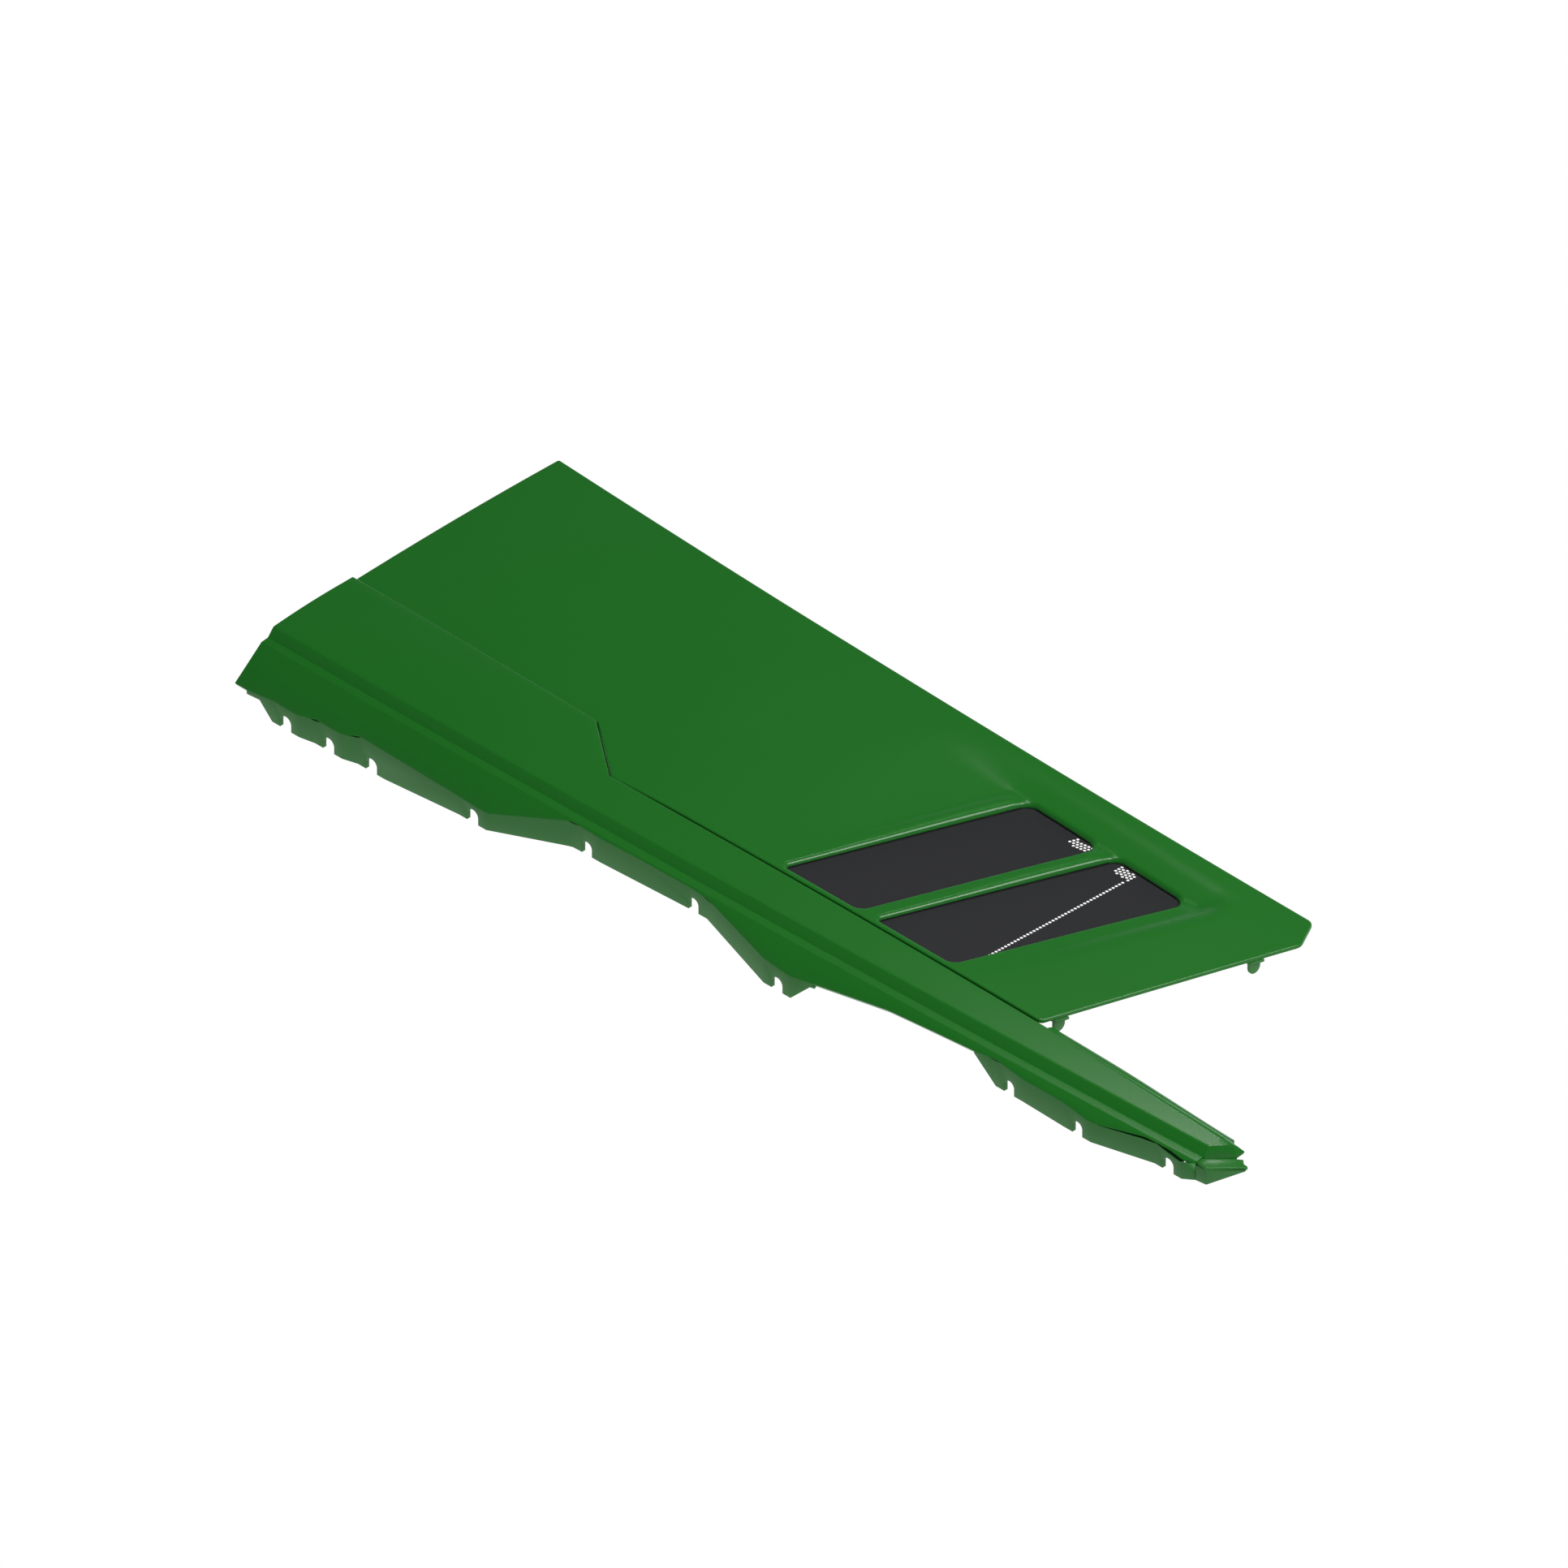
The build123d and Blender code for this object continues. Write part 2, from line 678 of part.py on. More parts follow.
def screen_retainer():
    """Frame with a window for each vent, drilled for its screws."""
    sheet = layer(FRAME_DEPTH, FRAME_THICKNESS)
    reach = FRAME_INSET + FRAME_WIDTH
    rear = vent_corners(REAR_VENT, reach)
    front = vent_corners(FRONT_VENT, reach)
    with BuildPart() as piece:
        add(sheet)
        with BuildSketch(Plane.XY.offset(CUT_BELOW)):
            with BuildLine():
                Polyline(rear[0], front[1], front[2], rear[3], close=True)
            make_face()
            for start in (REAR_VENT, FRONT_VENT):
                with BuildLine():
                    Polyline(*vent_corners(start, FRAME_INSET), close=True)
                make_face(mode=Mode.SUBTRACT)
                with Locations(*screw_places(start)):
                    Circle(SCREW_DIAMETER / 2.0 + SCREW_CLEARANCE, mode=Mode.SUBTRACT)
        extrude(amount=CUT_HEIGHT, mode=Mode.INTERSECT)
    piece.part.label = "vent_screen_frame"
    return piece.part


def hole_row(start):
    """Single row of holes along Y that crosses the front screen."""
    x = start + VENT_SPAN * 1.12
    y = front_seam(start) + VENT_MARGIN + 42.0
    return [(x, y + HOLE_PITCH * step) for step in range(HOLES_IN_ROW)]


def hole_patch(corner, side, turn):
    """Triangular-pitch patch of holes beside a vent's far corner."""
    places = []
    for column in range(PATCH_COLUMNS):
        for row in range(-2, 6):
            along = HOLE_PITCH * 0.866 * column
            across = HOLE_PITCH * (row + 0.5 * (column % 2))
            run = PATCH_START + along * cos(turn) + across * sin(turn)
            depth = PATCH_EDGE + across * cos(turn) - along * sin(turn)
            if PATCH_EDGE <= depth <= PATCH_DEPTH:
                places.append((corner[0] + side * run, corner[1] - depth))
    return places


def screen(start, holes):
    """Sheet-metal screen behind a vent, with its open holes."""
    sheet = layer(SCREEN_DEPTH, SCREEN_THICKNESS)
    with BuildPart() as piece:
        add(sheet)
        with BuildSketch(Plane.XY.offset(CUT_BELOW)):
            with BuildLine():
                Polyline(*vent_corners(start, SEAL_WIDTH), close=True)
            make_face()
            with Locations(*holes):
                Circle(HOLE_DIAMETER / 2.0, mode=Mode.SUBTRACT)
        extrude(amount=CUT_HEIGHT, mode=Mode.INTERSECT)
    return piece.part


def bosses(places):
    """Screw bosses bonded to the back of the skin."""
    with BuildPart() as group:
        for place in places:
            foot = layer_depth_at(place, FRAME_DEPTH) + BOND_GAP
            top = layer_depth_at(place, SKIN) - BOND_GAP
            with BuildSketch(Plane.XY.offset(foot)):
                with Locations(place):
                    Circle(BOSS_DIAMETER / 2.0)
                    Circle(SCREW_DIAMETER / 2.0, mode=Mode.SUBTRACT)
            extrude(amount=top - foot)
    return group.part


def screws(places):
    """Pan-head screws from below, through the frame into the bosses."""
    with BuildPart() as group:
        for place in places:
            seat = layer_depth_at(place, FRAME_DEPTH + FRAME_THICKNESS) - BOND_GAP
            with BuildSketch(Plane.XY.offset(seat)):
                with Locations(place):
                    Circle(SCREW_HEAD_DIAMETER / 2.0)
            extrude(amount=-SCREW_HEAD)
            with BuildSketch(Plane.XY.offset(seat)):
                with Locations(place):
                    Circle(SCREW_DIAMETER / 2.0 - 0.15)
            extrude(amount=SCREW_REACH)
    return group.part


sides = (("rear", REAR_VENT), ("front", FRONT_VENT))
for side, start in sides:
    seal = seal_ring(start)
    seal.label = side + "_vent_seal"
    export_step(seal, "parts/" + seal.label + ".step")
    corners = vent_corners(start, 0.0)
    if side == "rear":
        holes = hole_patch(corners[2], -1.0, atan(VENT_SLANT))
    else:
        holes = hole_patch(corners[3], 1.0, 0.0) + hole_row(start)
    mesh = screen(start, holes)
    mesh.label = side + "_vent_screen"
    export_step(mesh, "parts/" + mesh.label + ".step")
    places = screw_places(start)
    group = screws(places)
    group.label = side + "_frame_screws"
    export_step(group, "parts/" + group.label + ".step")
    studs = bosses(places)
    studs.label = side + "_screw_bosses"
    export_step(studs, "parts/" + studs.label + ".step")

retainer = screen_retainer()
export_step(retainer, "parts/vent_screen_frame.step")

# Locator lugs, bonded under the front edge of the main panel
for name, share in (("near_locator_lug", 0.08), ("far_locator_lug", 0.83)):
    lug_y = near_front[1] + (far_front_y - near_front[1]) * share
    edge_x = PANEL_NEAR_FRONT + FRONT_LEAN * (lug_y - near_front[1])
    corners = [(edge_x - LUG_FOOT, lug_y - LUG_WIDTH / 2.0), (edge_x, lug_y - LUG_WIDTH / 2.0),
               (edge_x - LUG_FOOT, lug_y + LUG_WIDTH / 2.0), (edge_x + 4.0, lug_y + LUG_WIDTH / 2.0)]
    top = min(main_height(x, y) for x, y in corners) - SKIN - BOND_GAP
    with BuildPart() as lug:
        with BuildSketch(Plane.XY.offset(top)):
            with BuildLine():
                Polyline(
                    (edge_x - LUG_FOOT, lug_y - LUG_WIDTH / 2.0),
                    (edge_x - 1.0, lug_y - LUG_WIDTH / 2.0),
                    (edge_x + LUG_WIDTH * FRONT_LEAN - 1.0, lug_y + LUG_WIDTH / 2.0),
                    (edge_x - LUG_FOOT, lug_y + LUG_WIDTH / 2.0),
                    close=True,
                )
            make_face()
        extrude(amount=-LUG_THICKNESS)
        with BuildSketch(Plane.YZ.offset(edge_x - LUG_SETBACK)):
            with Locations((lug_y, top - (LUG_HANG - LUG_WIDTH / 2.0) / 2.0)):
                Rectangle(LUG_WIDTH, LUG_HANG - LUG_WIDTH / 2.0)
            with Locations((lug_y, top - LUG_HANG + LUG_WIDTH / 2.0)):
                Circle(LUG_WIDTH / 2.0)
        extrude(amount=LUG_THICKNESS)
        with BuildSketch(Plane.XZ.offset(-lug_y - LUG_THICKNESS / 2.0)):
            with BuildLine():
                Polyline(
                    (edge_x - LUG_FOOT, top - LUG_THICKNESS + SINK),
                    (edge_x - LUG_SETBACK + SINK, top - LUG_THICKNESS + SINK),
                    (edge_x - LUG_SETBACK + SINK, top - LUG_HANG + LUG_THICKNESS),
                    close=True,
                )
            make_face()
        extrude(amount=LUG_THICKNESS)
    lug.part.label = name
    export_step(lug.part, "parts/" + name + ".step")
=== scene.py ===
import json
from math import atan2, cos, hypot, pi, radians, sin, sqrt

import bmesh
import bpy
import numpy as np
from mathutils import Matrix, Vector
from mathutils.geometry import delaunay_2d_cdt


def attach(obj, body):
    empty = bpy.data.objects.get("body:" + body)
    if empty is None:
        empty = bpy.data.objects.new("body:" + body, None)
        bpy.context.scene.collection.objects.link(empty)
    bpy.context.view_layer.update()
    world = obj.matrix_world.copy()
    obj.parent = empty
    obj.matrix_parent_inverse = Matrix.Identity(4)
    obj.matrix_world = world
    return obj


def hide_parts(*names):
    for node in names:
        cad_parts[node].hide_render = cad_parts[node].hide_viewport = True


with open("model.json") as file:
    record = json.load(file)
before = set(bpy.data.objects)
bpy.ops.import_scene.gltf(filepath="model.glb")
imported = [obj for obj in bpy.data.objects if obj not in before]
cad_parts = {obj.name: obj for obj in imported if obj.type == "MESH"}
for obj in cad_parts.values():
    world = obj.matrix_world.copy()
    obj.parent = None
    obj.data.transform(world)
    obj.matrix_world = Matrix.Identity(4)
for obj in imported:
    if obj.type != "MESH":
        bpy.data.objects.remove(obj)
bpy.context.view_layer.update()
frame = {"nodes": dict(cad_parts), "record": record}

# Looks of the ventilated hood side panel. The outer skins are rebuilt here as fine meshes
# from the same formulas as the CAD model, with rolled edges, and stand for their CAD nodes.
# Lengths below are in millimetres; MM turns them into the frame's metres.

MM = 0.001

# Form, as in the CAD model
LENGTH = 1118.0
WIDTH = 361.0
NOSE_DROP = 42.2
NOSE_TAPER = 64.2
SKIN = 3.5
CROWN = 3.8
REAR_DIP = 3.6
FRONT_DIP = 0.3
FAR_EDGE_HOLLOW = 12.0
FRONT_LEAN = 0.30
CORNER_CUT = 31.0
CORNER_CUT_ALONG = 16.0
SEAM_GAP = 1.0
SEAM_REAR = 102.0
SEAM_FRONT = 52.0
SEAM_SLOPE = 0.0457
LAP = 18.0
VENT_SPAN = 90.0
VENT_BAR = 22.0
VENT_SLANT = 0.33
VENT_MARGIN = 9.0
VENT_FAR_MARGIN = 57.0
VENT_ROUND = 12.0
VENT_SHARP = 3.0
RECESS_DEPTH = 7.0
RECESS_WALL = 26.0
RECESS_LEAD = 150.0
FRONT_WALL = 30.0
STRIP_CROWN = 4.2
STRIP_REACH = 84.0
BEVEL_OUT = 7.0
BEVEL_DROP = 8.5
LEDGE_WIDTH = 8.0
LEDGE_FALL = 0.8
SKIRT_FALL = 0.84
SKIRT_SHORTEST = 1.5
SKIN_SHIFT = 2.2
NOSE_ANGLE = 50.0
NOSE_RUN = 32.0
NOSE_BEVEL = 6.0
NOSE_LEDGE = 19.0
NOSE_BAND = 9.0
NOSE_WALL = 13.0
BAND_STEP = 3.0
PAD_LENGTH = 34.0
PANEL_NEAR_FRONT = LENGTH * 0.799
PANEL_FAR_FRONT = PANEL_NEAR_FRONT + FRONT_LEAN * (WIDTH - CORNER_CUT - SEAM_REAR + 27.0)
JOG_START = LENGTH * 0.274
JOG_END = LENGTH * 0.334
VENT_START = LENGTH * 0.515
STATIONS = 76
LONG_FLANGE = (LENGTH / STATIONS, LENGTH * 47 / STATIONS)
FRONT_FLANGE = (LENGTH * 59 / STATIONS, LENGTH)
LONG_PADS = [(0.055, -46.0), (0.100, -42.0), (0.1435, -36.5), (0.2575, -36.0), (0.362, -8.2),
             (0.477, -2.0), (0.582, -14.0)]
FRONT_PADS = [(0.8125, 22.0), (0.886, 26.0), (0.974, 44.5)]
REAR_VENT = VENT_START
FRONT_VENT = VENT_START + VENT_SPAN + VENT_BAR
VENTS_END = VENT_START + 2.0 * VENT_SPAN + VENT_BAR

# Finish of the outer skins, which the CAD model leaves plain
RIM = 1.8                   # height of the rounded rim along the vents' slanted sides
RIM_HALF = 9.0              # half its width
RIM_NEAR = (14.0, 40.0)     # where it grows: from the seam, and back from the vents' far side
RIM_FAR = (16.0, 2.0)       # where it ends, before and beyond the vents' far side
EDGE_ROUND = 1.8            # roll of the panel's outer edge
EDGE_STEPS = 4
LIP_ROUND = 4.5             # roll of the vents' edge
LIP_STEPS = 6
LIP_DEPTH = 1.2             # how far the lip hangs below the skin
LIP_FLAT = 0.5              # from the roll to the net's border
NET_INSET = 2.0             # from the panel's outer edge to the net's border
NET_STEP = 4.0
FINE_NET = 24.0             # distance from the vents within which the net is fine
SEAM_ROLL = 2.2             # roll of the strip's far edge, up to the panel's front
FAR_ROLL_WIDTH = 7.5        # the same at the nose
FAR_ROLL_DROP = 4.5
TRIM_CLEAR = 0.2            # the trim's edge stands back from the seam line
CREST_ROUND = 3.0
BEVEL_ROUND = 2.0
LEDGE_ROUND = 2.4
NOSE_START = LENGTH - 0.1   # the nose's pieces run just into the swept trim
NOSE_FAR = 15.3             # from the crest line to the far edge of the nose's ledge
NOSE_BRINK = 0.4            # width of the step from the solid crest to its thin far edge
NOSE_TIP_OFFSET = 3.5       # how far out on the bevel the crest's tip lies
NOSE_TIP_BACK = 6.0
NOSE_THIN = 2.0             # thickness of the crest's far edge
CREST_SINK = 0.8            # how far the crest reaches into the ledge
BAND_FALL = 3.0
BAND_SINK = 3.0             # how far the band sinks towards the nose
BAND_SINK_RUN = 150.0
BACKING_GAP = 0.4
BACKING_THICK = 1.5
SCREEN_THINNED = 0.65       # taken off the back of a screen, so that its holes read as open
SCREEN_MIDDLE = 5.7         # from the outer face to the middle of a screen's thickness


def rise(value, start, end):
    """Smooth step from 0 at start to 1 at end."""
    share = min(1.0, max(0.0, (value - start) / (end - start)))
    return share * share * (3.0 - 2.0 * share)


def through(points, value):
    """Height at value of the straight line through the points."""
    if value <= points[0][0]:
        return points[0][1]
    for (start, low), (end, high) in zip(points, points[1:]):
        if value <= end:
            return low + (high - low) * (value - start) / (end - start)
    return points[-1][1]


def fall(x):
    return -NOSE_DROP * (x / LENGTH) ** 2


def crest(x):
    return NOSE_TAPER * (x / LENGTH) ** 2


def front_seam(x):
    return SEAM_FRONT + SEAM_SLOPE * (x - JOG_END)


def seam(x):
    """Place across of the seam at x, with its jog."""
    if x <= JOG_START:
        return SEAM_REAR
    if x >= JOG_END:
        return front_seam(x)
    return SEAM_REAR + (SEAM_FRONT - SEAM_REAR) * (x - JOG_START) / (JOG_END - JOG_START)


def leaned(x, y):
    return x - VENT_SLANT * (y - front_seam(VENT_START))


def main_height(x, y):
    """Outer face of the main panel, with crisper far and front walls round the recess than in CAD."""
    crown_line = WIDTH * 0.76
    dip = REAR_DIP + (FRONT_DIP - REAR_DIP) * rise(x, JOG_START - 30.0, JOG_END + 90.0)
    span = (crown_line - y) / (crown_line - SEAM_REAR)
    height = CROWN - dip * span * span + fall(x)
    far = WIDTH - VENT_FAR_MARGIN
    near = front_seam(x)
    across = max(0.0, min(1.0, (y - near) / (far - near)))
    wall = 1.0 - max(0.0, min(1.0, (y - far) / RECESS_WALL))
    back = rise(leaned(x, y), VENT_START - RECESS_LEAD, VENT_START)
    front = 1.0 - rise(leaned(x, y), VENTS_END + 4.0, VENTS_END + FRONT_WALL)
    return height - RECESS_DEPTH * across * wall * back * front


def strip_height(x, y):
    share = min(1.0, max(-0.2, (y - crest(x)) / STRIP_REACH))
    return fall(x) + STRIP_CROWN * (1.0 - (1.0 - share) ** 2)


def pad_points(pads):
    points = []
    for share, across in pads:
        points.append((LENGTH * share - PAD_LENGTH / 2.0, across))
        points.append((LENGTH * share + PAD_LENGTH / 2.0, across))
    return points


SKIRT_LINE = (
    [(0.0, -48.5), (LONG_FLANGE[0], -48.5)]
    + pad_points(LONG_PADS)
    + [(LONG_FLANGE[1], -9.0), (LENGTH * 0.69, 6.0), (FRONT_FLANGE[0], 18.0)]
    + pad_points(FRONT_PADS)
    + [(LENGTH, NOSE_TAPER - BEVEL_OUT - LEDGE_WIDTH - SKIRT_SHORTEST)]
)


def ledge_edge(x):
    return crest(x) - BEVEL_OUT - LEDGE_WIDTH


def skirt_edge(x):
    return min(through(SKIRT_LINE, x), ledge_edge(x) - SKIRT_SHORTEST)


def ledge_height(x):
    return fall(x) - BEVEL_DROP - LEDGE_FALL


def skirt_height(x):
    return ledge_height(x) - SKIRT_FALL * (ledge_edge(x) - skirt_edge(x))


# ---------------------------------------------------------------- outlines

def rotated(vector, angle):
    """The flat vector turned by angle."""
    copy = vector.copy()
    copy.rotate(Matrix.Rotation(angle, 2))
    return copy


def turn_between(into, away):
    return atan2(into.x * away.y - into.y * away.x, into.dot(away))


def corner_reach(radius, turn):
    """How far from a corner its round starts."""
    return radius * abs(sin(turn / 2.0) / cos(turn / 2.0))


def rounded_outline(corners, radii, spacing):
    """Points and outward normals along a closed polygon, anticlockwise, with rounded corners."""
    points = []
    count = len(corners)
    for index, corner in enumerate(corners):
        before = Vector(corners[index - 1])
        here = Vector(corner)
        after = Vector(corners[(index + 1) % count])
        into = (here - before).normalized()
        away = (after - here).normalized()
        turn = turn_between(into, away)
        radius = radii[index]
        start = here - into * corner_reach(radius, turn)
        side = 1.0 if turn > 0.0 else -1.0
        centre = start + Vector((-into.y, into.x)) * radius * side
        steps = max(3, int(abs(turn) / radians(9.0)))
        for step in range(steps + 1):
            spoke = rotated(Vector((into.y, -into.x)) * side, turn * step / steps)
            points.append((centre + spoke * radius, spoke * side))
        leave = centre + rotated(Vector((into.y, -into.x)) * side, turn) * radius
        after_next = Vector(corners[(index + 2) % count])
        next_turn = turn_between(away, (after_next - after).normalized())
        arrive = after - away * corner_reach(radii[(index + 1) % count], next_turn)
        pieces = max(1, int((arrive - leave).length / spacing))
        normal = Vector((away.y, -away.x))
        for step in range(1, pieces):
            points.append((leave + (arrive - leave) * step / pieces, normal.copy()))
    return points


def ring_at(outline, offset):
    """The outline moved out by offset."""
    return [point + normal * offset for point, normal in outline]


def vent_corners(start):
    near = front_seam(start) + VENT_MARGIN
    far = WIDTH - VENT_FAR_MARGIN
    corners = []
    for x in (start, start + VENT_SPAN):
        y = near + SEAM_SLOPE * (x - start)
        corners.append((x + VENT_SLANT * (y - near), y))
        corners.append((x + VENT_SLANT * (far - near), far))
    return [corners[0], corners[2], corners[3], corners[1]]


def far_edge_arc(count):
    """Plain long edge from the clipped corner back to the rear, on its hollow arc."""
    start = Vector((PANEL_FAR_FRONT - CORNER_CUT_ALONG, WIDTH))
    end = Vector((0.0, WIDTH))
    share = (start.x - LENGTH * 0.57) / (end - start).length
    points = []
    for step in range(count + 1):
        place = step / count
        depth = FAR_EDGE_HOLLOW * place * (1.0 - place) / (share * (1.0 - share))
        points.append((start.x + (end.x - start.x) * place, WIDTH - depth))
    return points


def distance_to_vents(x, y):
    """Distance in plan from a point to the nearer vent's edge, negative inside."""
    nearest = 1000.0
    for corners in VENT_PLANS:
        inside = True
        shortest = 1000.0
        for index, (ax, ay) in enumerate(corners):
            bx, by = corners[(index + 1) % 4]
            run = hypot(bx - ax, by - ay)
            side = ((x - ax) * (by - ay) - (y - ay) * (bx - ax)) / run
            inside = inside and side < 0.0
            place = max(0.0, min(1.0, ((x - ax) * (bx - ax) + (y - ay) * (by - ay)) / (run * run)))
            gap = hypot(x - ax - place * (bx - ax), y - ay - place * (by - ay))
            shortest = min(shortest, gap)
        nearest = min(nearest, -shortest if inside else shortest)
    return nearest


VENT_PLANS = [vent_corners(REAR_VENT), vent_corners(FRONT_VENT)]


def outer_height(x, y):
    """Outer face with the rounded rim that stands along the vents' slanted sides."""
    far = WIDTH - VENT_FAR_MARGIN
    share = max(0.0, 1.0 - ((distance_to_vents(x, y) - RIM_HALF) / RIM_HALF) ** 2)
    grown = rise(y, front_seam(x) + RIM_NEAR[0], far - RIM_NEAR[1])
    strength = grown * (1.0 - rise(y, far - RIM_FAR[0], far + RIM_FAR[1]))
    return main_height(x, y) + RIM * share * strength


# ---------------------------------------------------------------- mesh helpers

def new_object(name, vertices, faces, smooth=True):
    """Object from points in millimetres, with joined vertices and outward faces."""
    mesh = bpy.data.meshes.new(name)
    mesh.from_pydata([(x * MM, y * MM, z * MM) for x, y, z in vertices], [], faces)
    mesh.validate()
    bm = bmesh.new()
    bm.from_mesh(mesh)
    bmesh.ops.remove_doubles(bm, verts=bm.verts, dist=0.00001)
    bmesh.ops.recalc_face_normals(bm, faces=bm.faces)
    bm.to_mesh(mesh)
    bm.free()
    if smooth:
        mesh.shade_smooth()
        mesh.set_sharp_from_angle(angle=radians(38.0))
    piece = bpy.data.objects.new(name, mesh)
    bpy.context.scene.collection.objects.link(piece)
    return piece


# ---------------------------------------------------------------- main panel

def rounded_drop(distance, radius):
    """How far a rolled edge lies below the face, distance in from the edge."""
    if distance >= radius:
        return 0.0
    return radius - sqrt(max(0.0, radius * radius - (radius - distance) ** 2))


class PanelSkin:
    """Gathers the main panel's vertices and faces; a ring is a list of vertex numbers."""

    def __init__(self):
        self.vertices = []
        self.faces = []

    def add(self, x, y, drop):
        """Vertex at drop below the outer face."""
        self.vertices.append((x, y, outer_height(x, y) - drop))
        return len(self.vertices) - 1

    def add_ring(self, points, drop):
        return [self.add(point.x, point.y, drop) for point in points]

    def join(self, one, two, flip):
        for index in range(len(one)):
            after = (index + 1) % len(one)
            quad = (one[index], one[after], two[after], two[index])
            self.faces.append(quad[::-1] if flip else quad)


def panel_outline():
    """Main panel's outline in plan, from its rear corner under the trim."""
    edge_y = SEAM_REAR - LAP
    corners = [
        (0.0, edge_y),
        (JOG_START - LAP, edge_y),
        (JOG_START - LAP, SEAM_REAR + SEAM_GAP),
        (JOG_START + SEAM_GAP / 2.0, SEAM_REAR + SEAM_GAP),
        (JOG_END + SEAM_GAP / 2.0, SEAM_FRONT + SEAM_GAP),
        (PANEL_NEAR_FRONT, front_seam(PANEL_NEAR_FRONT) + SEAM_GAP),
        (PANEL_FAR_FRONT, WIDTH - CORNER_CUT),
    ]
    radii = [2.5, 2.5, 2.5, 6.0, 6.0, 6.0, 12.0]
    arc = far_edge_arc(150)
    corners += arc
    radii += [8.0] + [0.5] * (len(arc) - 2) + [2.5]
    return rounded_outline(corners, radii, 5.0)


def add_lip(skin, outline, side, radius, steps, depth, reach):
    """
    Rings from an outline's lower edge over its rolled edge to the net's border, which lies at
    reach outwards (side 1) or inwards (side -1). Returns the border, its ring and the lowest ring.
    """
    rings = [skin.add_ring(ring_at(outline, 0.0), depth)]
    for step in range(steps + 1):
        inset = radius * (1.0 - cos(pi / 2.0 * step / steps))
        rings.append(skin.add_ring(ring_at(outline, side * inset), rounded_drop(inset, radius)))
    border = ring_at(outline, side * reach)
    rings.append(skin.add_ring(border, 0.0))
    for one, two in zip(rings, rings[1:]):
        skin.join(one, two, side > 0.0)
    return border, rings[-1], rings[0]


def in_loop(x, y, loop):
    hit = False
    for index, start in enumerate(loop):
        end = loop[(index + 1) % len(loop)]
        if (start.y > y) != (end.y > y):
            if x < (end.x - start.x) * (y - start.y) / (end.y - start.y) + start.x:
                hit = not hit
    return hit


def between(x, y, borders):
    """Whether a point lies inside the first border and outside the others."""
    return in_loop(x, y, borders[0]) and not any(in_loop(x, y, hole) for hole in borders[1:])


def grid_points(borders):
    """Points of the net between the borders, close together only near the vents."""
    edge = np.array([(point.x, point.y) for border in borders for point in border])
    points = []
    for row, y in enumerate(np.arange(SEAM_FRONT, WIDTH, NET_STEP).tolist()):
        for x in np.arange(NET_STEP * (row % 2), PANEL_FAR_FRONT, NET_STEP).tolist():
            if not between(x, y, borders):
                continue
            gap = np.min(np.hypot(edge[:, 0] - x, edge[:, 1] - y))
            coarse = row % 2 == 0 and round(x / NET_STEP) % 2 == 0
            if gap > NET_STEP * 0.55 and (coarse or distance_to_vents(x, y) < FINE_NET):
                points.append(Vector((x, y)))
    return points


def net_between(skin, borders, rings):
    """Faces over the outer face between the borders, on whose points the rings' vertices lie."""
    points = []
    source = []
    links = []
    for border, ring in zip(borders, rings):
        first = len(points)
        count = len(border)
        points += [Vector((point.x, point.y)) for point in border]
        source += ring
        links += [(first + index, first + (index + 1) % count) for index in range(count)]
    for point in grid_points(borders):
        points.append(point)
        source.append(skin.add(point.x, point.y, 0.0))
    places, _, triangles, origins = delaunay_2d_cdt(points, links, [], 0, 0.0001)[:4]
    numbers = []
    for place, origin in zip(places, origins):
        numbers.append(source[origin[0]] if origin else skin.add(place.x, place.y, 0.0))
    net = []
    for triangle in triangles:
        x = sum(places[index].x for index in triangle) / len(triangle)
        y = sum(places[index].y for index in triangle) / len(triangle)
        if between(x, y, borders):
            net.append([numbers[index] for index in triangle])
    return net


def add_lower_face(skin, net, rings, lows):
    """The net again, one skin lower, joined to the lowest rings."""
    numbers = [number for face in net for number in face]
    for ring in rings:
        numbers += ring
    lower = {}
    for number in numbers:
        if number not in lower:
            x, y, _ = skin.vertices[number]
            lower[number] = skin.add(x, y, SKIN)
    skin.faces += [[lower[number] for number in reversed(face)] for face in net]
    for index, (ring, low) in enumerate(zip(rings, lows)):
        skin.join([lower[number] for number in ring], low, index > 0)


def build_main_panel():
    skin = PanelSkin()
    edges = [add_lip(skin, panel_outline(), -1.0, EDGE_ROUND, EDGE_STEPS, SKIN, NET_INSET)]
    for start in (REAR_VENT, FRONT_VENT):
        radii = [VENT_SHARP, VENT_ROUND, VENT_ROUND, VENT_ROUND]
        outline = rounded_outline(vent_corners(start), radii, 4.0)
        reach = LIP_ROUND + LIP_FLAT
        edges.append(add_lip(skin, outline, 1.0, LIP_ROUND, LIP_STEPS, SKIN + LIP_DEPTH, reach))
    borders, rings, lows = zip(*edges)
    net = net_between(skin, borders, rings)
    skin.faces += net
    add_lower_face(skin, net, rings, lows)
    return new_object("main_panel_skin", skin.vertices, skin.faces)


main_skin = build_main_panel()
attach(main_skin, "root")
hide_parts("main_panel")


# ---------------------------------------------------------------- trim

